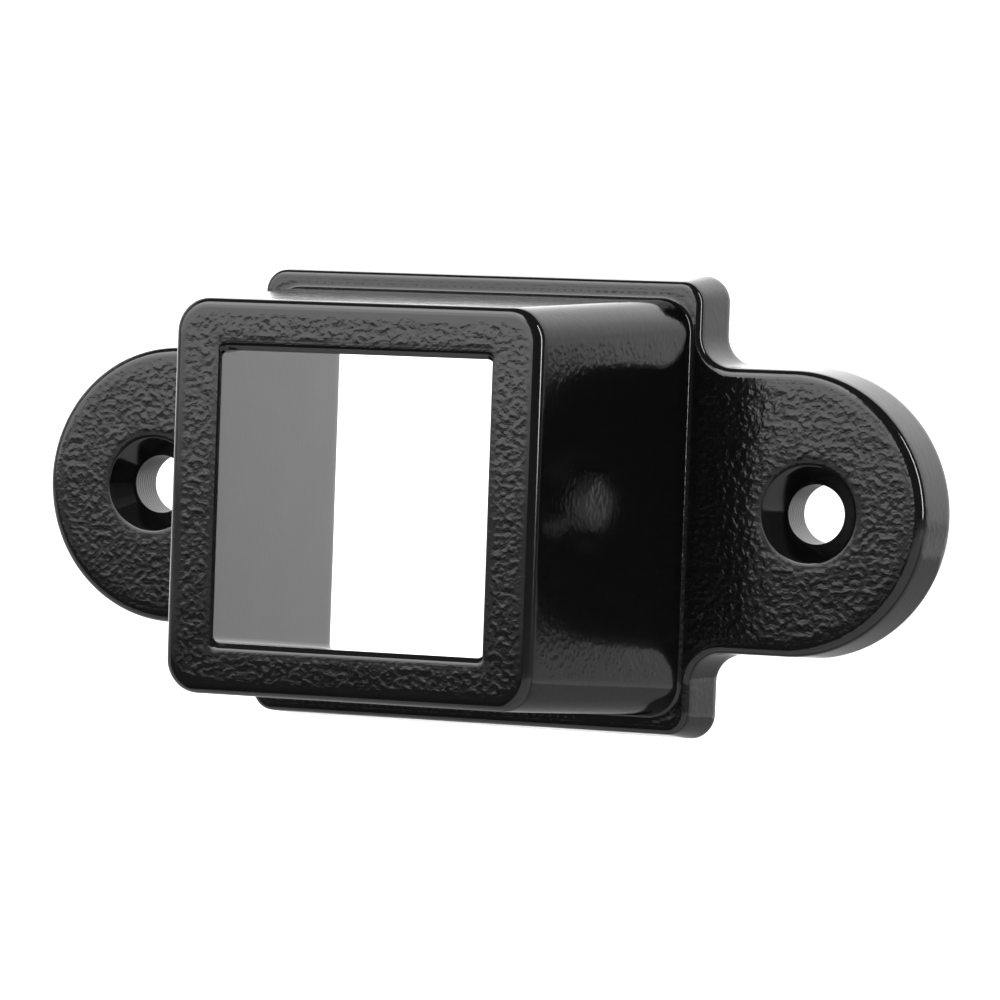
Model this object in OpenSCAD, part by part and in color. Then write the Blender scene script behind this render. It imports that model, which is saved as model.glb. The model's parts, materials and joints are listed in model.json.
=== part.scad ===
// Square rail bracket: one casting, a flared square socket standing on a flange with two ears.
// +X runs along the ears, +Z is up, and the socket's mouth faces -Y.
// The origin is the centre of the flange's back face.

/* [Rail socket] */
// Width and height of the square opening at the mouth
mouth = 26.0; // [24:0.5:28]
// Wall thickness at the mouth
wall = 4.6; // [4:0.1:6]
// Length of the socket in front of the flange
socket_len = 27.5; // [22:0.5:34]
// Lean of the two side walls, in degrees
side_flare = 6.9; // [5:0.1:7.2]
// Lean of the top and bottom walls, in degrees
top_draft = 2.8; // [1.5:0.1:3]
// Lean of the inner side walls, in degrees
bore_flare = 6.25; // [4.5:0.05:6.5]
// Lean of the inner top and bottom walls, in degrees
bore_draft = 3.4; // [1.5:0.1:3.6]
// Radius of the socket's four outer corners
corner_r = 3.0; // [2:0.1:4]
// Radius of the opening's four inner corners
bore_corner_r = 0.6; // [0.5:0.1:2]
// Bevel around the edge of the opening at the mouth
mouth_bevel = 0.5; // [0.2:0.1:1]

/* [Flange] */
// Thickness of the flange
flange_t = 6.5; // [5:0.1:8]
// How far the flange shows beyond the side walls' foot
side_lip = 0.9; // [0.9:0.1:2]
// How far the flange shows beyond the top and bottom walls' foot
top_lip = 1.65; // [1.2:0.05:3]
// Radius of the flange block's four corners
block_corner_r = 2.0; // [1.5:0.1:3]
// Radius of the rounded front edges
edge_r = 0.9; // [0.4:0.1:1.2]
// Lean of the flange's edges, in degrees
flange_draft = 4.0; // [1:0.5:5]
// Lean of the flange block's top and bottom edges, in degrees
flange_top_draft = 6.2; // [2:0.2:8]

/* [Ears] */
// Distance from the centre to the centre of an ear's round end
ear_x = 30.85; // [29:0.05:34]
// Radius of an ear's round end at its front face
ear_r = 12.9; // [11:0.1:15]
// Radius of the hollow corner between an ear and the flange block
web_r = 3.0; // [2:0.5:4]

/* [Screw holes] */
// Distance between the two screw holes
hole_spacing = 65.8; // [62:0.1:70]
// Diameter of the screw holes
hole_d = 5.4; // [4:0.1:6]
// Diameter of the countersinks at the front face
sink_d = 8.9; // [7:0.1:11]
// Full angle of the countersinks, in degrees
sink_angle = 82; // [82:8:90]

/* [Hidden] */
enamel = "#1c1c1e";
skin = 0.01;                    // thickness of the slices that a hull spans
round_steps = [0, 30, 60, 90];  // angles at which an edge round is sliced
depth = flange_t + socket_len;
front_half = mouth / 2 + wall;
foot_x = front_half + socket_len * tan(side_flare);
foot_z = front_half + socket_len * tan(top_draft);
block_x = foot_x + side_lip;
block_z = foot_z + top_lip;
flange_lean = flange_t * tan(flange_draft);
flange_top_lean = flange_t * tan(flange_top_draft);
seam_x = 19.5;                  // plane where the ears' solids meet the plate's
web_sink = 1;                   // depth that a web reaches into the ear
sink_depth = (sink_d - hole_d) / 2 / tan(sink_angle / 2);
past = 1;                       // how far a cutter runs past a face

// A thin slice across Y with rounded corners; its back is at y
module slice(half_x, half_z, r, y) {
    for (sx = [-1, 1], sz = [-1, 1])
        translate([sx * (half_x - r), y, sz * (half_z - r)])
            rotate([90, 0, 0]) cylinder(r = r, h = skin, $fn = 32);
}

// A block along Y with rounded corners and a rounded front edge; it widens towards its back
module block(front_x, front_z, back_x, back_z, r, front, back) {
    hull() {
        for (a = round_steps) {
            inset = edge_r * (1 - sin(a));
            slice(front_x - inset, front_z - inset, r - inset, front + skin + edge_r * (1 - cos(a)));
        }
        slice(back_x, back_z, r, back);
    }
}

// The space inside the casting, from the back face to the mouth, with the mouth's bevel
module rail_space() {
    half = mouth / 2;
    lean_x = tan(bore_flare);
    lean_z = tan(bore_draft);
    hull() {
        slice(half, half, bore_corner_r, -depth + skin);
        slice(half + (depth + past) * lean_x, half + (depth + past) * lean_z, bore_corner_r, past);
    }
    hull() {
        slice(half + mouth_bevel + past, half + mouth_bevel + past, bore_corner_r + past, -depth - past);
        slice(half, half, bore_corner_r, -depth + mouth_bevel);
    }
}

module flange_block() {
    block(block_x, block_z, block_x + flange_lean, block_z + flange_top_lean, block_corner_r, -flange_t, 0);
}

// A slice of an ear: a round end with straight sides that run back into the flange block
module ear_slice(r, y) {
    translate([ear_x, y, 0]) rotate([90, 0, 0]) cylinder(r = r, h = skin, $fn = 48);
    translate([seam_x - past, y - skin, -r]) cube([skin, skin, 2 * r]);
}

// The hollow corner between an ear and the flange block
module web() {
    corner_z = ear_r + flange_lean;
    centre = [block_x + web_r, corner_z + web_r];
    arc = [for (a = [180 : 15 : 270]) centre + web_r * [cos(a), sin(a)]];
    foot = [[block_x + web_r, ear_r - web_sink], [block_x - web_sink, ear_r - web_sink],
            [block_x - web_sink, corner_z + web_r]];
    rotate([90, 0, 0]) linear_extrude(height = flange_t - edge_r) polygon(concat(arc, foot));
}

// A countersunk screw hole along Y
module screw_hole() {
    rotate([90, 0, 0]) {
        translate([0, 0, -past]) cylinder(d = hole_d, h = flange_t + 2 * past, $fn = 48);
        translate([0, 0, flange_t - sink_depth])
            cylinder(d1 = hole_d, d2 = sink_d, h = sink_depth, $fn = 48);
        translate([0, 0, flange_t - skin]) cylinder(d = sink_d, h = past, $fn = 48);
    }
}

module ear() {
    difference() {
        intersection() {
            union() {
                flange_block();
                hull() {
                    for (a = round_steps)
                        ear_slice(ear_r - edge_r * (1 - sin(a)), -flange_t + skin + edge_r * (1 - cos(a)));
                    ear_slice(ear_r + flange_lean, 0);
                }
                for (side = [0, 1]) mirror([0, 0, side]) web();
            }
            translate([seam_x, -depth, -2 * block_z]) cube([2 * ear_x, 2 * depth, 4 * block_z]);
        }
        translate([hole_spacing / 2, 0, 0]) screw_hole();
    }
}

module rail_socket() {
    color(enamel) difference() {
        intersection() {
            block(front_half, front_half, foot_x, foot_z, corner_r, -depth, -flange_t);
            translate([-2 * foot_x, -depth, -2 * foot_z]) cube([4 * foot_x, socket_len, 4 * foot_z]);
        }
        rail_space();
    }
}

module flange_plate() {
    color(enamel) difference() {
        intersection() {
            flange_block();
            translate([-seam_x, -depth, -2 * block_z]) cube([2 * seam_x, 2 * depth, 4 * block_z]);
        }
        rail_space();
    }
}

module left_ear() { color(enamel) mirror([1, 0, 0]) ear(); }

module right_ear() { color(enamel) ear(); }

rail_socket();
flange_plate();
left_ear();
right_ear();
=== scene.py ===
"""Looks of the square rail bracket: one enamelled casting, modelled as a single continuous mesh."""
import json
import math

import bmesh
import bpy
import numpy as np
from mathutils import Matrix, Vector, geometry, noise


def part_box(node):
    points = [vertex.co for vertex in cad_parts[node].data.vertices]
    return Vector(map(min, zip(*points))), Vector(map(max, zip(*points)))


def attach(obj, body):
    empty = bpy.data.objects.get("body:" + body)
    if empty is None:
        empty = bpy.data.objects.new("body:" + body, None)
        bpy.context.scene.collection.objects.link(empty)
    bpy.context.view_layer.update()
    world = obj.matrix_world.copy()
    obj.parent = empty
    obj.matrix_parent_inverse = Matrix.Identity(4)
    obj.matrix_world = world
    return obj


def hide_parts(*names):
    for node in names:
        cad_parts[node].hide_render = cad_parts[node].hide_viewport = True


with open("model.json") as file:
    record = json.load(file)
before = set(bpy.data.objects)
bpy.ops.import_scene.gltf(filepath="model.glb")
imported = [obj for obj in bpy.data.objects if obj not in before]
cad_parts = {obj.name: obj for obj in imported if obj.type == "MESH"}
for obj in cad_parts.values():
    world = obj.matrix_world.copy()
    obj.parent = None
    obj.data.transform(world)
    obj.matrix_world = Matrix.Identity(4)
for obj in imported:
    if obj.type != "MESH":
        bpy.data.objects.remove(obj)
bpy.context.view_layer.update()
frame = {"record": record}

# ---------------------------------------------------------------- sizes, in millimetres
MM = 0.001

# Driving dimensions, as in the CAD model
MOUTH = 26.0            # square opening at the mouth
WALL = 4.6              # socket wall at the mouth
BORE_FLARE = 6.25       # lean of the inner side walls, degrees
BORE_DRAFT = 3.4        # lean of the inner top and bottom walls, degrees
CORNER_R = 3.0          # socket's outer corners
BORE_CORNER_R = 0.6     # opening's corners
SIDE_LIP = 0.9          # flange beyond the side walls' foot
TOP_LIP = 1.65          # flange beyond the top and bottom walls' foot
BLOCK_CORNER_R = 2.0    # flange block's corners
EDGE_R = 0.9            # rounded front edges of the socket and the ears
WEB_R = 3.0             # hollow corners between ears and block
EAR_X = 30.85           # centre of an ear's round end
SINK_D = 8.9            # countersink at the ear's front face
SINK_ANGLE = 82.0       # full angle of the countersink, degrees
FLANGE_DRAFT = 4.0      # lean of the flange's edges, degrees

# Small roundings that only the looks need
MOUTH_R = 0.45          # upper and lower edges of the opening at the mouth: a round,
MOUTH_TURN = 42.0       # which turns so many degrees,
MOUTH_BEVEL = 0.42      # then a bevel of this height that ends in a sharp edge
MOUTH_SIDE_R = 0.3      # its side edges
BORE_BACK_R = 0.6       # edge of the opening at the back face
BACK_R = 0.25           # flange's back edge
LIP_R = 0.6             # flange block's front edge
FOOT_R = 0.35           # hollow where the socket meets the flange
RIM_R = 0.3             # edge of a countersink
HOLE_EDGE_R = 0.15      # edge of a screw hole

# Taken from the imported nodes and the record
socket_low, socket_high = (np.array(v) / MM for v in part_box("rail_socket"))
plate_high = np.array(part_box("flange_plate")[1]) / MM
ear_high = np.array(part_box("right_ear")[1]) / MM
screws = next(m for m in frame["record"]["mounts"] if m["name"] == "screw_holes")["dims"]

MOUTH_Y = socket_low[1]
FLANGE_Y = socket_high[1]
FOOT_X, FOOT_Z = socket_high[0], socket_high[2]
FRONT_HALF = MOUTH / 2 + WALL
BLOCK_X, BLOCK_Z = FOOT_X + SIDE_LIP, FOOT_Z + TOP_LIP
TOP_LEAN = plate_high[2] - BLOCK_Z
FLANGE_LEAN = -FLANGE_Y * math.tan(math.radians(FLANGE_DRAFT))
EAR_R = ear_high[0] - EAR_X - FLANGE_LEAN
HOLE_X = screws["spacing_x_mm"] / 2
HOLE_R = screws["hole_r_mm"]

# ---------------------------------------------------------------- mesh spacing
SIDE_STEPS = 92         # along each side of a square loop
CORNER_STEPS = 14       # around each corner of a square loop
ROUND_STEPS = 6         # across an edge round
BACK_STEPS = 3          # across the round of the flange's back edge
RIM_STEPS = 4           # across the round of a countersink's rim
HOLE_EDGE_STEPS = 3     # across the round of a screw hole's edge
EAR_STEPS = 84          # around a quarter of an ear
EAR_SIDE_STEPS = 24     # along an ear's straight side
WEB_STEPS = 16          # around a hollow corner
BLOCK_SIDE_STEPS = 10   # along the flange block's side, above the ear
BLOCK_CORNER_STEPS = 12 # around the flange block's corner
BLOCK_TOP_STEPS = 78    # along half of the flange block's top
CIRCLE_STEPS = 128      # around a screw hole
WALL_LOOPS = 46         # loops along the socket's outer walls, both ends included
BORE_LOOPS = 34         # loops along the opening's walls, both ends included
RING_LOOPS = 15         # loops across the ring at the mouth
EDGE_LOOPS = 10         # loops down the flange's edge, both ends included
SLOPE_LOOPS = 8         # loops down a countersink, both ends included
DRILLED_LOOPS = 12      # loops along a drilled wall, both ends included
CREASE = 0.03           # distance between loops that keep an edge sharp, mm
CLEARANCE = 0.6         # free space around an edge's points, in spacings
JOIN_DISTANCE = 0.001   # points closer than this are one point, mm
FINE = 0.26             # spacing of points on the textured front faces
COARSE = 1.1            # spacing of points on the back face


def arc(centre, radius, start, end, steps):
    """Points of an arc from start to end degrees, the first one included and the last one left out."""
    angles = np.radians(start + (end - start) * np.arange(steps) / steps)
    return np.stack([centre[0] + radius * np.cos(angles), centre[1] + radius * np.sin(angles)], -1)


def line(start, end, steps):
    """Points from start to end, the last one left out."""
    t = np.arange(steps)[:, None] / steps
    return np.array(start) * (1 - t) + np.array(end) * t


def square_loop(half_x, half_z, r):
    """A rounded square in (x, z), anticlockwise, always with the same number of points."""
    inner_x, inner_z = half_x - r, half_z - r
    parts = []
    for turn, (sx, sz) in enumerate([(1, 1), (-1, 1), (-1, -1), (1, -1)]):
        centre = (sx * inner_x, sz * inner_z)
        parts.append(arc(centre, r, 90 * turn, 90 * turn + 90, CORNER_STEPS))
        end_angle = math.radians(90 * turn + 90)
        start = (centre[0] + r * math.cos(end_angle), centre[1] + r * math.sin(end_angle))
        nx, nz = [(-1, 1), (-1, -1), (1, -1), (1, 1)][turn]
        following = (nx * inner_x + r * math.cos(end_angle), nz * inner_z + r * math.sin(end_angle))
        parts.append(line(start, following, SIDE_STEPS))
    return np.concatenate(parts)


def flange_loop(grow, rise=0.0):
    """Outline of the flange in (x, z), anticlockwise, offset outwards; rise lifts the block's ends."""
    block_centre = (BLOCK_X - BLOCK_CORNER_R, BLOCK_Z - BLOCK_CORNER_R)
    web_centre = (BLOCK_X + WEB_R, EAR_R + WEB_R)
    web_radius = WEB_R - grow
    side_x = BLOCK_X + grow
    quarter = np.concatenate([
        arc((EAR_X, 0), EAR_R + grow, 0, 90, EAR_STEPS),
        line((EAR_X, EAR_R + grow), (web_centre[0], EAR_R + grow), EAR_SIDE_STEPS),
        arc(web_centre, web_radius, 270, 180, WEB_STEPS),
        line((side_x, web_centre[1]), (side_x, block_centre[1]), BLOCK_SIDE_STEPS),
        arc(block_centre, BLOCK_CORNER_R + grow, 0, 90, BLOCK_CORNER_STEPS),
        line((block_centre[0], BLOCK_Z + grow), (0, BLOCK_Z + grow), BLOCK_TOP_STEPS),
        [[0, BLOCK_Z + grow]],
    ])
    quarter[:, 1] += rise * smoothstep(quarter[:, 1], EAR_R + WEB_R + grow, BLOCK_Z - BLOCK_CORNER_R)
    left = quarter[-2::-1] * (-1, 1)
    upper = np.concatenate([quarter, left])
    lower = upper[-2:0:-1] * (1, -1)
    return np.concatenate([upper, lower])


def circle_loop(centre_x, r):
    return arc((centre_x, 0), r, 0, 360, CIRCLE_STEPS)


def at(loop, y):
    """The loop's points in 3D, at that y."""
    return np.insert(loop, 1, y, axis=1)


# ---------------------------------------------------------------- mesh builder
class Skin:
    """Vertices, faces, and for each vertex its texture weight and for each face its material."""

    def __init__(self):
        self.points, self.weights, self.faces, self.slots = [], [], [], []

    def add_points(self, points, weights):
        first = len(self.points)
        self.points.extend(map(tuple, points))
        self.weights.extend(np.broadcast_to(weights, len(points)))
        return first

    def strip(self, loops, weights, slot=0):
        """Quads between successive closed loops of equally many points."""
        count = len(loops[0])
        firsts = [self.add_points(p, w) for p, w in zip(loops, np.broadcast_to(weights, len(loops)))]
        for a, b in zip(firsts, firsts[1:]):
            for i in range(count):
                j = (i + 1) % count
                self.faces.append((a + i, a + j, b + j, b + i))
                self.slots.append(slot)

    def sheet(self, y, outer, holes, spacing):
        """A flat face across Y inside the outer loop and outside the holes, with points inside it."""
        loops = [outer, *holes]
        edges, first = [], 0
        for loop in loops:
            n = len(loop)
            edges += [(first + i, first + (i + 1) % n) for i in range(n)]
            first += n
        flat = [Vector(p) for p in np.concatenate([*loops, inside_points(loops, spacing)])]
        points, _, triangles, *_ = geometry.delaunay_2d_cdt(flat, edges, [], 0, 1e-6)
        points = np.array([tuple(p) for p in points])
        triangles = np.array([tuple(t) for t in triangles])
        middle = points[triangles].mean(1)
        keep = inside(outer, middle)
        for hole in holes:
            keep &= ~inside(hole, middle)
        weights = smoothstep(edge_distance(loops, points), *SHEET_FADE)
        base = self.add_points(at(points, y), weights)
        for triangle in triangles[keep]:
            self.faces.append(tuple(base + int(i) for i in triangle))
            self.slots.append(0)


def inside(loop, points):
    """Whether each point is inside the closed loop, by counting crossings."""
    result = np.zeros(len(points), bool)
    x, z = points[:, 0], points[:, 1]
    for (x1, z1), (x2, z2) in zip(loop, np.roll(loop, -1, axis=0)):
        if z1 == z2:
            continue
        crosses = (z1 > z) != (z2 > z)
        result ^= crosses & (x < (x2 - x1) * (z - z1) / (z2 - z1) + x1)
    return result


def inside_points(loops, spacing):
    """Points on a triangular grid inside the first loop, clear of every loop's edge."""
    low, high = loops[0].min(0), loops[0].max(0)
    rows = np.arange(low[1], high[1], spacing * math.sqrt(3) / 2)
    columns = np.arange(low[0], high[0], spacing)
    x, z = np.meshgrid(columns, rows)
    x[1::2] += spacing / 2
    points = np.stack([x.ravel(), z.ravel()], -1)
    keep = inside(loops[0], points)
    for hole in loops[1:]:
        keep &= ~inside(hole, points)
    points = points[keep]
    clear = np.ones(len(points), bool)
    for loop in loops:
        for p in loop:
            clear &= ((points - p) ** 2).sum(1) > (CLEARANCE * spacing) ** 2
    return points[clear]


# ---------------------------------------------------------------- profiles
def rounded_edge(depth, lean, r):
    """How far out a face stands from its sharp corner, at each depth below the corner.

    The face leans out by lean degrees as it goes down, and the corner is rounded to radius r.
    """
    lean = math.radians(lean)
    depth = np.asarray(depth, float)
    curve = np.sqrt(np.maximum(r ** 2 - (r - depth) ** 2, 0)) - r * math.cos(lean) / (1 + math.sin(lean))
    return np.where(depth < r * (1 - math.sin(lean)), curve, depth * math.tan(lean))


def round_depths(lean, r, steps=ROUND_STEPS):
    """Depths from the corner's face to the end of the rounding, closest where it turns fastest."""
    return r * (1 - np.cos(np.radians(90 - lean) * np.arange(steps + 1) / steps))


def smoothstep(x, low, high):
    t = np.clip((np.asarray(x, float) - low) / (high - low), 0, 1)
    return t * t * (3 - 2 * t)


SOCKET_LEN = FLANGE_Y - MOUTH_Y
SIDE_FLARE = math.degrees(math.atan((FOOT_X - FRONT_HALF) / SOCKET_LEN))
TOP_DRAFT = math.degrees(math.atan((FOOT_Z - FRONT_HALF) / SOCKET_LEN))
SINK_R = SINK_D / 2
WALL_WEIGHT = 0.40      # strength of the enamel's texture on outer walls; on front faces it is 1
BORE_WEIGHT = 0.18      # and on the opening's walls
WALL_FADE = 3           # distance behind the mouth over which the walls' texture sets in, mm
RING_FADE = 0.7         # distance from the ring's edges over which its texture sets in, mm
SHEET_FADE = (0.1, 0.9) # distances from a flat face's edges over which its texture sets in, mm
LIP_BLEND = (0.3, 3.5)  # distances beyond the block over which its edge round becomes the ear's, mm


def socket_outside():
    """Loops from the flange's face up the socket's walls and round its front edge."""
    loops = []
    foot_depths = round_depths(TOP_DRAFT, FOOT_R)
    for d in foot_depths:
        out_x = -rounded_edge(d, SIDE_FLARE, FOOT_R)
        out_z = -rounded_edge(d, TOP_DRAFT, FOOT_R)
        radius = CORNER_R + max(out_x, 0)
        loops.append(at(square_loop(FOOT_X + out_x, FOOT_Z + out_z, radius), FLANGE_Y - d))
    front_depths = round_depths(TOP_DRAFT, EDGE_R)[::-1]
    start, end = FLANGE_Y - foot_depths[-1], MOUTH_Y + front_depths[0]
    wall = np.linspace(start, end, WALL_LOOPS)[1:-1]
    for y in wall:
        d = y - MOUTH_Y
        half_x = FRONT_HALF + d * math.tan(math.radians(SIDE_FLARE))
        half_z = FRONT_HALF + d * math.tan(math.radians(TOP_DRAFT))
        loops.append(at(square_loop(half_x, half_z, CORNER_R), y))
    for d in front_depths:
        in_x = rounded_edge(d, SIDE_FLARE, EDGE_R)
        in_z = rounded_edge(d, TOP_DRAFT, EDGE_R)
        radius = CORNER_R + min(in_x, 0)
        loops.append(at(square_loop(FRONT_HALF + in_x, FRONT_HALF + in_z, radius), MOUTH_Y + d))
    weights = [WALL_WEIGHT * smoothstep(loop[0][1], MOUTH_Y, MOUTH_Y + WALL_FADE) for loop in loops]
    return loops, weights


def bore_size(y):
    depth = y - MOUTH_Y
    return [MOUTH / 2 + depth * math.tan(math.radians(lean)) for lean in (BORE_FLARE, BORE_DRAFT)]


def mouth_bevel_depths():
    """Depths at which the round of the mouth's upper and lower edges ends, and at which their bevel ends."""
    whole_turn = math.radians(MOUTH_TURN)
    round_end = MOUTH_R * (1 - math.cos(whole_turn))
    return round_end, round_end + MOUTH_BEVEL * math.tan(whole_turn)


def mouth_bevel(depth):
    """How far the mouth's upper and lower edges open out beyond the opening, at that depth."""
    whole_turn = math.radians(MOUTH_TURN)
    round_end, bevel_end = mouth_bevel_depths()
    lean = math.tan(math.radians(BORE_DRAFT))
    if depth >= bevel_end:
        return depth * lean
    if depth >= round_end:
        return (bevel_end - depth) / math.tan(whole_turn) + bevel_end * lean
    turned = math.acos(1 - depth / MOUTH_R)
    return MOUTH_R * (math.sin(whole_turn) - math.sin(turned)) + MOUTH_BEVEL + bevel_end * lean


def socket_inside():
    """Loops from the mouth's front edge through the bore to the back face."""
    loops = []
    side_depths = round_depths(-BORE_FLARE, MOUTH_SIDE_R)
    turns = np.radians(np.linspace(0, MOUTH_TURN, 7))
    round_end, bevel_end = mouth_bevel_depths()
    bevel_depths = [round_end + CREASE, bevel_end - CREASE, bevel_end, bevel_end + CREASE]
    turn_depths = MOUTH_R * (1 - np.cos(turns))
    mouth_depths = np.unique(np.concatenate([side_depths, turn_depths, bevel_depths]).round(4))
    for d in mouth_depths:
        half_x = MOUTH / 2 - rounded_edge(d, -BORE_FLARE, MOUTH_SIDE_R)
        half_z = MOUTH / 2 + mouth_bevel(d)
        loops.append(at(square_loop(half_x, half_z, BORE_CORNER_R), MOUTH_Y + d))
    back_depths = round_depths(BORE_DRAFT, BORE_BACK_R)[::-1]
    start, end = MOUTH_Y + mouth_depths[-1], -back_depths[0]
    for y in np.linspace(start, end, BORE_LOOPS)[1:-1]:
        loops.append(at(square_loop(*bore_size(y), BORE_CORNER_R), y))
    back_x, back_z = bore_size(0)
    for d in back_depths:
        half_x = back_x - rounded_edge(d, BORE_FLARE, BORE_BACK_R)
        half_z = back_z - rounded_edge(d, BORE_DRAFT, BORE_BACK_R)
        loops.append(at(square_loop(half_x, half_z, BORE_CORNER_R + max(half_x - back_x, 0)), -d))
    return loops, [BORE_WEIGHT] * len(loops)


def flange_edge():
    """Loops around the flange's edge, from its front face to its back face.

    The front edge is rounded to LIP_R along the block and to EDGE_R round the ears.
    """
    blend_start, blend_end = (BLOCK_X + distance for distance in LIP_BLEND)
    on_ear = smoothstep(np.abs(flange_loop(0.0)[:, :1]), blend_start, blend_end)
    loops = []
    for lip_depth, ear_depth in zip(round_depths(FLANGE_DRAFT, LIP_R), round_depths(FLANGE_DRAFT, EDGE_R)):
        lip = at(flange_loop(float(rounded_edge(lip_depth, FLANGE_DRAFT, LIP_R))), FLANGE_Y + lip_depth)
        ear = at(flange_loop(float(rounded_edge(ear_depth, FLANGE_DRAFT, EDGE_R))), FLANGE_Y + ear_depth)
        loops.append(lip * (1 - on_ear) + ear * on_ear)
    back_depths = round_depths(-FLANGE_DRAFT, BACK_R, BACK_STEPS)[::-1]
    lean = FLANGE_LEAN - back_depths[0] * math.tan(math.radians(FLANGE_DRAFT))
    last = at(flange_loop(lean, TOP_LEAN - FLANGE_LEAN), -back_depths[0])
    for t in np.linspace(0, 1, EDGE_LOOPS)[1:-1]:
        loops.append(loops[ROUND_STEPS] * (1 - t) + last * t)
    for d in back_depths:
        lean = FLANGE_LEAN + float(rounded_edge(d, -FLANGE_DRAFT, BACK_R))
        loops.append(at(flange_loop(lean, TOP_LEAN - FLANGE_LEAN), -d))
    return loops, [WALL_WEIGHT] * len(loops)


def turned_corner(corner, normal_a, normal_b, r, steps):
    """Points (radius, y) that round a corner between two faces with those outward normals."""
    a, b = np.array(normal_a, float), np.array(normal_b, float)
    centre = np.array(corner, float) - r * (a + b) / (1 + a @ b)
    turn = math.acos(np.clip(a @ b, -1, 1))
    t = np.arange(steps + 1)[:, None] / steps
    return centre + r * (np.sin((1 - t) * turn) * a + np.sin(t * turn) * b) / math.sin(turn)


def hole_profile():
    """Points (radius, y) of a screw hole: the countersink's part, then the drilled wall's part."""
    half_angle = math.radians(SINK_ANGLE / 2)
    cone = (-math.cos(half_angle), -math.sin(half_angle))
    sink_depth = (SINK_R - HOLE_R) / math.tan(half_angle)
    rim = turned_corner((SINK_R, FLANGE_Y), (0, -1), cone, RIM_R, RIM_STEPS)
    throat = turned_corner((HOLE_R, FLANGE_Y + sink_depth), cone, (-1, 0), HOLE_EDGE_R, HOLE_EDGE_STEPS)
    t = np.linspace(0, 1, SLOPE_LOOPS)[1:-1, None]
    slope = rim[-1] * (1 - t) + throat[0] * t
    back = turned_corner((HOLE_R, 0), (-1, 0), (0, 1), HOLE_EDGE_R, HOLE_EDGE_STEPS)
    t = np.linspace(0, 1, DRILLED_LOOPS)[1:-1, None]
    wall = throat[-1] * (1 - t) + back[0] * t
    return np.concatenate([rim, slope, throat]), np.concatenate([throat[-1:], wall, back])


def edge_distance(loops, points):
    """Distance of each point from the nearest point of the loops."""
    nearest = np.full(len(points), np.inf)
    for p in np.concatenate(loops):
        nearest = np.minimum(nearest, ((points - p) ** 2).sum(1))
    return np.sqrt(nearest)


def make_skin():
    skin = Skin()
    outside, outside_weights = socket_outside()
    inside_loops, inside_weights = socket_inside()
    edge, edge_weights = flange_edge()
    sink, drilled = hole_profile()
    skin.strip(outside, outside_weights)
    ring_t = np.linspace(0, 1, RING_LOOPS)
    ring = [outside[-1] * (1 - t) + inside_loops[0] * t for t in ring_t]
    ring_width = WALL - EDGE_R - MOUTH_R * math.sin(math.radians(MOUTH_TURN)) - MOUTH_BEVEL
    from_edge = np.minimum(ring_t, 1 - ring_t) * ring_width
    skin.strip(ring, smoothstep(from_edge, 0.0, RING_FADE))
    skin.strip(inside_loops, inside_weights)
    skin.strip(edge, edge_weights)
    for side in (-1, 1):
        loops = [at(circle_loop(side * HOLE_X, r), y) for r, y in sink]
        skin.strip(loops, 0.0)
        loops = [at(circle_loop(side * HOLE_X, r), y) for r, y in drilled]
        skin.strip(loops, 0.0, slot=1)
    rims = [circle_loop(side * HOLE_X, sink[0][0]) for side in (-1, 1)]
    skin.sheet(FLANGE_Y, edge[0][:, [0, 2]], [outside[0][:, [0, 2]], *rims], FINE)
    ends = [circle_loop(side * HOLE_X, drilled[-1][0]) for side in (-1, 1)]
    skin.sheet(0, edge[-1][:, [0, 2]], [inside_loops[-1][:, [0, 2]], *ends], COARSE)
    return skin


# ---------------------------------------------------------------- the casting
HAMMER_SIZE = 1.3       # size of the enamel's dents, mm
HAMMER_DEPTH = 0.014    # depth of the enamel's dents, mm
SAG_SIZE = 7.0          # size of the enamel's slow waves, mm
SAG_DEPTH = 0.02        # depth of the enamel's slow waves, mm


def relief(point, weight):
    """How far the enamel's surface sinks at a point, in mm."""
    dents = 0.5 - 0.5 * noise.noise(Vector(point) / HAMMER_SIZE)
    waves = 0.5 - 0.5 * noise.noise(Vector(point) / SAG_SIZE)
    return HAMMER_DEPTH * weight * dents + SAG_DEPTH * waves


def make_casting(skin, materials):
    mesh = bpy.data.meshes.new("bracket_casting")
    mesh.from_pydata(skin.points, [], skin.faces)
    mesh.polygons.foreach_set("material_index", skin.slots)
    weights = mesh.attributes.new("texture", "FLOAT", "POINT")
    weights.data.foreach_set("value", np.array(skin.weights, np.float32))
    build = bmesh.new()
    build.from_mesh(mesh)
    bmesh.ops.remove_doubles(build, verts=build.verts, dist=JOIN_DISTANCE)
    bmesh.ops.recalc_face_normals(build, faces=build.faces)
    build.normal_update()
    texture = build.verts.layers.float["texture"]
    moved = [(v, v.co - v.normal * relief(v.co, v[texture])) for v in build.verts]
    for vertex, place in moved:
        vertex.co = place
    open_edges = sum(1 for e in build.edges if not e.is_manifold)
    if open_edges:
        raise RuntimeError(f"the casting has {open_edges} open edges")
    bmesh.ops.scale(build, verts=build.verts, vec=(MM, MM, MM))
    for face in build.faces:
        face.smooth = True
    build.to_mesh(mesh)
    build.free()
    for material in materials:
        mesh.materials.append(material)
    casting = bpy.data.objects.new("bracket_casting", mesh)
    bpy.context.scene.collection.objects.link(casting)
    return casting


# ---------------------------------------------------------------- materials
def new_material(name):
    material = bpy.data.materials.new(name)
    material.use_nodes = True
    return material, material.node_tree, material.node_tree.nodes["Principled BSDF"]


GRAIN_SIZE = 0.54       # size of the enamel's fine dents, mm
GRAIN_RELIEF = 0.030    # height of its fine dents and grooves, mm
GROOVE_WIDTH = 0.06     # half of the part of the noise's range that a groove takes up
GROOVE_HEIGHT = 0.06    # a groove's share of the relief


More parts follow.
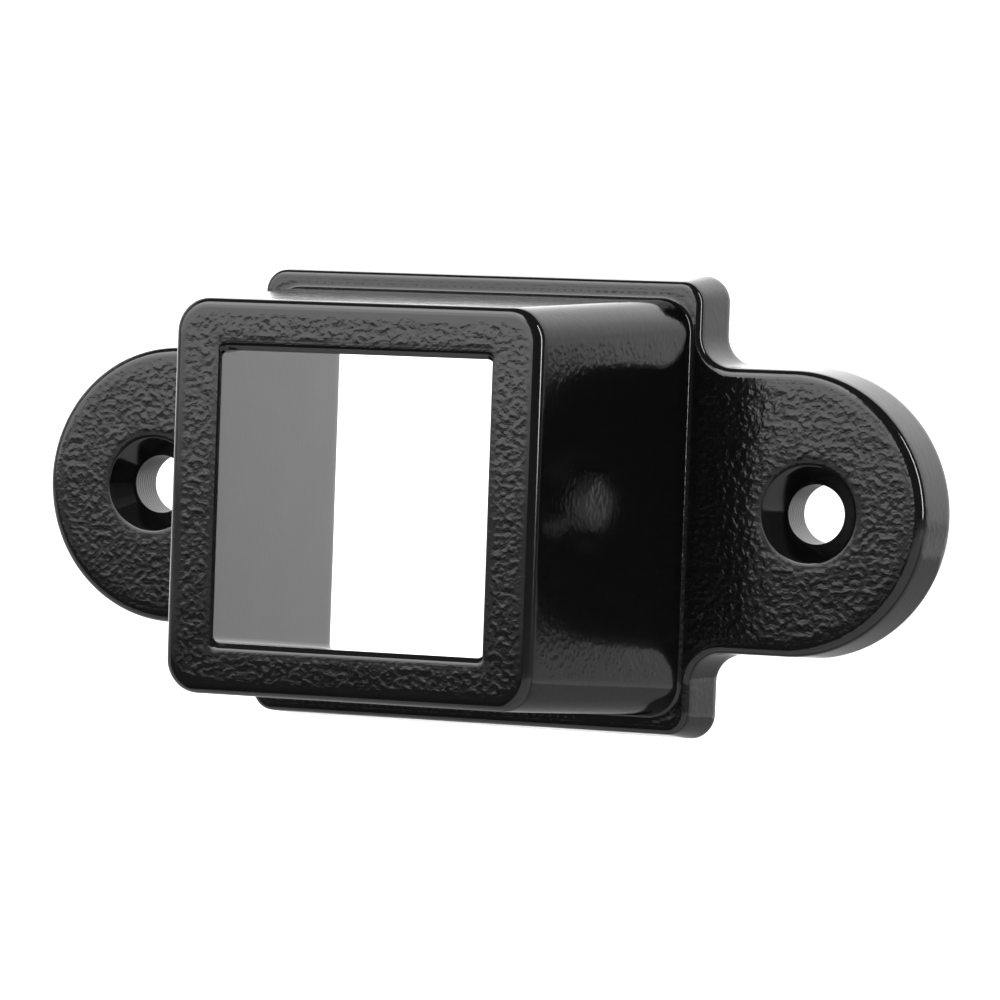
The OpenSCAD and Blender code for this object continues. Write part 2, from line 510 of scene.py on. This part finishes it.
def enamel_material():
    """Glossy black hammertone enamel, whose fine dents and grooves follow the mesh's texture weight."""
    material, tree, surface = new_material("black_hammertone_enamel")
    surface.inputs["Base Color"].default_value = (0.0025, 0.0025, 0.0026, 1)
    surface.inputs["Roughness"].default_value = 0.10
    surface.inputs["IOR"].default_value = 1.5
    place = tree.nodes.new("ShaderNodeTexCoord")
    weight = tree.nodes.new("ShaderNodeAttribute")
    weight.attribute_name = "texture"
    dents = tree.nodes.new("ShaderNodeTexNoise")
    dents.inputs["Scale"].default_value = 1 / (GRAIN_SIZE * MM)
    dents.inputs["Detail"].default_value = 0.6
    dents.inputs["Roughness"].default_value = 0.5
    from_middle = tree.nodes.new("ShaderNodeMath")
    from_middle.operation = "SUBTRACT"
    from_middle.inputs[1].default_value = 0.5
    distance = tree.nodes.new("ShaderNodeMath")
    distance.operation = "ABSOLUTE"
    grooves = tree.nodes.new("ShaderNodeMapRange")
    grooves.interpolation_type = "SMOOTHSTEP"
    grooves.inputs["From Max"].default_value = GROOVE_WIDTH
    grooves.inputs["To Max"].default_value = GROOVE_HEIGHT
    both = tree.nodes.new("ShaderNodeMath")
    both.operation = "ADD"
    height = tree.nodes.new("ShaderNodeMath")
    height.operation = "MULTIPLY"
    bump = tree.nodes.new("ShaderNodeBump")
    bump.inputs["Strength"].default_value = 1.0
    bump.inputs["Distance"].default_value = GRAIN_RELIEF * MM
    tree.links.new(place.outputs["Object"], dents.inputs["Vector"])
    tree.links.new(dents.outputs["Fac"], from_middle.inputs[0])
    tree.links.new(from_middle.outputs[0], distance.inputs[0])
    tree.links.new(distance.outputs[0], grooves.inputs["Value"])
    tree.links.new(dents.outputs["Fac"], both.inputs[0])
    tree.links.new(grooves.outputs[0], both.inputs[1])
    tree.links.new(both.outputs[0], height.inputs[0])
    tree.links.new(weight.outputs["Fac"], height.inputs[1])
    tree.links.new(height.outputs[0], bump.inputs["Height"])
    tree.links.new(bump.outputs["Normal"], surface.inputs["Normal"])
    return material


def bare_metal_material():
    """Drilled bare metal with fine rings around the hole."""
    material, tree, surface = new_material("bare_metal")
    surface.inputs["Base Color"].default_value = (0.19, 0.19, 0.19, 1)
    surface.inputs["Metallic"].default_value = 1.0
    surface.inputs["Roughness"].default_value = 0.38
    place = tree.nodes.new("ShaderNodeTexCoord")
    rings = tree.nodes.new("ShaderNodeTexWave")
    rings.bands_direction = "Y"
    rings.inputs["Scale"].default_value = 700
    rings.inputs["Distortion"].default_value = 2.5
    bump = tree.nodes.new("ShaderNodeBump")
    bump.inputs["Strength"].default_value = 1.0
    bump.inputs["Distance"].default_value = 0.05 * MM
    tree.links.new(place.outputs["Object"], rings.inputs["Vector"])
    tree.links.new(rings.outputs["Fac"], bump.inputs["Height"])
    tree.links.new(bump.outputs["Normal"], surface.inputs["Normal"])
    return material


def plain_material(name, colour, roughness):
    material, _, surface = new_material(name)
    surface.inputs["Base Color"].default_value = (*colour, 1)
    surface.inputs["Roughness"].default_value = roughness
    return material


# ---------------------------------------------------------------- stage, lights, camera, in metres
CAMERA_PLACE = (22.85, 1.58)    # azimuth and elevation, degrees
CAMERA_DISTANCE = 0.55
CAMERA_TARGET = (0.0063, -0.015, 0.00029)
CAMERA_ROLL = 2.01              # degrees
CAMERA_LENS = 218.9             # focal length, mm
FLOOR_LEVEL = -0.08
WALL_START = (134, 142)         # azimuths over which the floor's rim rises into a wall, degrees
WALL_END = (292, 304)           # azimuths over which it falls again, degrees
SOFTBOX_DISTANCE = 0.8          # from the object to an upright softbox
SOFTBOX_LEFT = -60              # azimuth of the left softboxes' left edge, degrees
BACK_LIGHT_SIZE = (0.8, 0.8)
CARD_LIFT = 0.0005              # height of the floor cards above the floor
# Black card that paints a dark reflection, standing in for shade, into the socket's right side wall
DARK_REFLECTION_CARD_AZIMUTH = 143.3      # degrees
DARK_REFLECTION_CARD_DISTANCE = 0.25
DARK_REFLECTION_CARD_CORNER = 3           # radius of its corners, mm


def aim(thing, place, target, roll=0.0):
    """Puts a light or the camera at place, pointing at target, rolled clockwise by roll degrees."""
    forward = (Vector(target) - Vector(place)).normalized()
    right = forward.cross(Vector((0, 0, 1))).normalized()
    up = right.cross(forward)
    turn = math.radians(roll)
    rolled_right = right * math.cos(turn) + up * math.sin(turn)
    rolled_up = up * math.cos(turn) - right * math.sin(turn)
    axes = Matrix((rolled_right, rolled_up, -forward)).transposed()
    thing.matrix_world = Matrix.Translation(place) @ axes.to_4x4()


def direction(azimuth, elevation=0.0):
    """Unit vector from the object: azimuth in degrees from the front (-Y) towards +X."""
    azimuth, elevation = math.radians(azimuth), math.radians(elevation)
    flat = math.cos(elevation)
    return Vector((math.sin(azimuth) * flat, -math.cos(azimuth) * flat, math.sin(elevation)))


def make_camera():
    target = Vector(CAMERA_TARGET)
    camera = bpy.data.objects.new("camera", bpy.data.cameras.new("camera"))
    camera.data.sensor_width = 36.0
    camera.data.lens = CAMERA_LENS
    camera.data.clip_start = 0.05
    bpy.context.scene.collection.objects.link(camera)
    aim(camera, target + direction(*CAMERA_PLACE) * CAMERA_DISTANCE, target, roll=CAMERA_ROLL)
    bpy.context.scene.camera = camera


def make_floor():
    """A pale round floor, whose rim curves up into a wall behind the object and at its left."""
    reach, bend, height = 1.4, 0.5, 2.0
    profile = [(0.02, 0.0), (reach / 2, 0.0), (reach, 0.0)]
    turns = np.radians(np.arange(10, 91, 10))
    profile += [(reach + bend * math.sin(a), bend * (1 - math.cos(a))) for a in turns]
    profile.append((reach + bend, height))
    azimuths = np.arange(0, 360, 4)
    points, faces = [], []
    for azimuth in azimuths:
        wall = smoothstep(azimuth, *WALL_START) * (1 - smoothstep(azimuth, *WALL_END))
        for radius, rise in profile:
            points.append(direction(azimuth) * radius + Vector((0, 0, FLOOR_LEVEL + rise * wall)))
    rows, count = len(profile), len(azimuths)
    for i in range(count):
        this, following = i * rows, (i + 1) % count * rows
        faces += [(this + j, this + j + 1, following + j + 1, following + j) for j in range(rows - 1)]
    faces.append(tuple(i * rows for i in range(count)))
    mesh = bpy.data.meshes.new("floor")
    mesh.from_pydata(points, [], faces)
    for face in mesh.polygons:
        face.use_smooth = True
    mesh.materials.append(plain_material("pale_floor", (0.70, 0.70, 0.70), 0.9))
    floor = bpy.data.objects.new("floor", mesh)
    bpy.context.scene.collection.objects.link(floor)


def softbox(name, place, target, size, radiance):
    """A light panel at place that faces target, with a given brightness of its face."""
    light = bpy.data.lights.new(name, "AREA")
    light.shape = "RECTANGLE"
    light.size, light.size_y = size
    light.energy = radiance * math.pi * (size[0] * size[1])
    lamp = bpy.data.objects.new(name, light)
    lamp.visible_camera = False
    bpy.context.scene.collection.objects.link(lamp)
    aim(lamp, place, target)


def standing_softbox(name, left, right, low, high, radiance):
    """An upright light panel that fills those azimuths and elevations, in degrees, seen from the object."""
    facing = direction((left + right) / 2)
    width = 2 * SOFTBOX_DISTANCE * math.tan(math.radians((right - left) / 2))
    bottom, top = (SOFTBOX_DISTANCE * math.tan(math.radians(v)) for v in (low, high))
    middle = Vector((0, 0, (bottom + top) / 2))
    softbox(name, facing * SOFTBOX_DISTANCE + middle, middle, (width, top - bottom), radiance)


def make_lights():
    world = bpy.data.worlds.new("studio")
    world.use_nodes = True
    world.node_tree.nodes["Background"].inputs["Color"].default_value = (1, 1, 1, 1)
    world.node_tree.nodes["Background"].inputs["Strength"].default_value = 0.13
    bpy.context.scene.world = world
    # Softboxes at the front left: right edge, lowest and highest elevation in degrees, and brightness.
    # Apart from the lowest, they get brighter with height, and the upper two reach further round.
    left_softboxes = [
        (-6, -3.8, -2.8, 0.9),
        (-6, -2.8, -2.2, 0.1),
        (-6, -2.2, -1.6, 0.12),
        (-6, -1.6, -1.2, 0.3),
        (-6, -1.2, -0.8, 0.65),
        (-6, -0.8, -0.3, 1.3),
        (-6, -0.3, 1, 2.0),
        (-6, 1, 12, 3.0),
        (-2, 12, 34, 4.2),
        (5, 34, 64, 6.0),
    ]
    for number, (right, low, high, radiance) in enumerate(left_softboxes):
        standing_softbox(f"left_softbox_{number}", SOFTBOX_LEFT, right, low, high, radiance)
    # Narrow softbox at the right
    standing_softbox("right_softbox", 86, 94, -1, 45, 20.0)
    # Lights on the backdrop, which the object sees only from behind, where they are dark
    softbox("backdrop_light_left", (-0.8, 0.5, 0.5), (-0.65, 1.6, -0.1), BACK_LIGHT_SIZE, 12.0)
    softbox("backdrop_light_right", (0.4, 0.9, 1.4), (0.1, 1.9, 1.25), BACK_LIGHT_SIZE, 6.0)
    softbox("wall_light_left", (-0.7, -0.1, 0.9), (-1.9, 0.3, 0.3), BACK_LIGHT_SIZE, 6.0)


def shade_reflection_card(name, corners, albedo):
    """A flat card with those corners, which only reflections show: painted shade, seen only in the object's
    reflections.
    """
    mesh = bpy.data.meshes.new(name)
    mesh.from_pydata(corners, [], [tuple(range(len(corners)))])
    mesh.materials.append(plain_material(name, (albedo, albedo, albedo), 0.9))
    card = bpy.data.objects.new(name, mesh)
    bpy.context.scene.collection.objects.link(card)
    card.visible_camera = False
    card.visible_diffuse = False
    card.visible_shadow = False


def floor_sector(left, right, near, far):
    """Corners of a level ring sector just above the floor, between two azimuths and two radii."""
    height = Vector((0, 0, FLOOR_LEVEL + CARD_LIFT))
    inner = [direction(azimuth) * near + height for azimuth in np.linspace(left, right, 12)]
    outer = [direction(azimuth) * far + height for azimuth in np.linspace(right, left, 12)]
    return inner + outer


# Cards of painted shade, which the camera, diffuse light and shadows ignore, so that only the object's
# reflections show them
def make_shade_reflection_cards():
    # A small rounded black card behind the object's right side, which the side wall mirrors: a painted dark
    # reflection, standing in for shade at that side
    centre = Vector((0.019, -0.020, 0)) + direction(DARK_REFLECTION_CARD_AZIMUTH) * DARK_REFLECTION_CARD_DISTANCE
    across = Vector((0, 0, 1)).cross(-direction(DARK_REFLECTION_CARD_AZIMUTH))
    points = []
    for (u, z), start in zip([(-5, -25), (20, -25), (20, 12), (-5, 12)], (180, 270, 0, 90)):
        inward_u = DARK_REFLECTION_CARD_CORNER if u < 0 else -DARK_REFLECTION_CARD_CORNER
        inward_z = DARK_REFLECTION_CARD_CORNER if z < 0 else -DARK_REFLECTION_CARD_CORNER
        for angle in np.radians(np.arange(start, start + 91, 15)):
            du = u + inward_u + DARK_REFLECTION_CARD_CORNER * math.cos(angle)
            dz = z + inward_z + DARK_REFLECTION_CARD_CORNER * math.sin(angle)
            points.append(centre + across * du * MM + Vector((0, 0, dz * MM)))
    shade_reflection_card("painted_dark_reflection_card", points, 0.03)
    # One on the floor at the front left, a painted shade on the floor that draws the dark lines under the
    # front edges in reflection
    shade_reflection_card("painted_floor_shade_front", floor_sector(-55, 0, 0.075, 1.35), 0.004)
    # Two on the floor behind and at the right, a painted shade on the floor under and behind the object,
    # which dims the lower edges in reflection
    shade_reflection_card("painted_floor_shade_near", floor_sector(95, 215, 0.0, 0.35), 0.24)
    shade_reflection_card("painted_floor_shade_right", floor_sector(95, 152, 0.35, 1.4), 0.46)


bpy.context.scene.view_settings.view_transform = "Standard"
make_camera()
make_floor()
make_lights()
make_shade_reflection_cards()
casting = make_casting(make_skin(), [enamel_material(), bare_metal_material()])
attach(casting, "root")
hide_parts("rail_socket", "flange_plate", "left_ear", "right_ear")
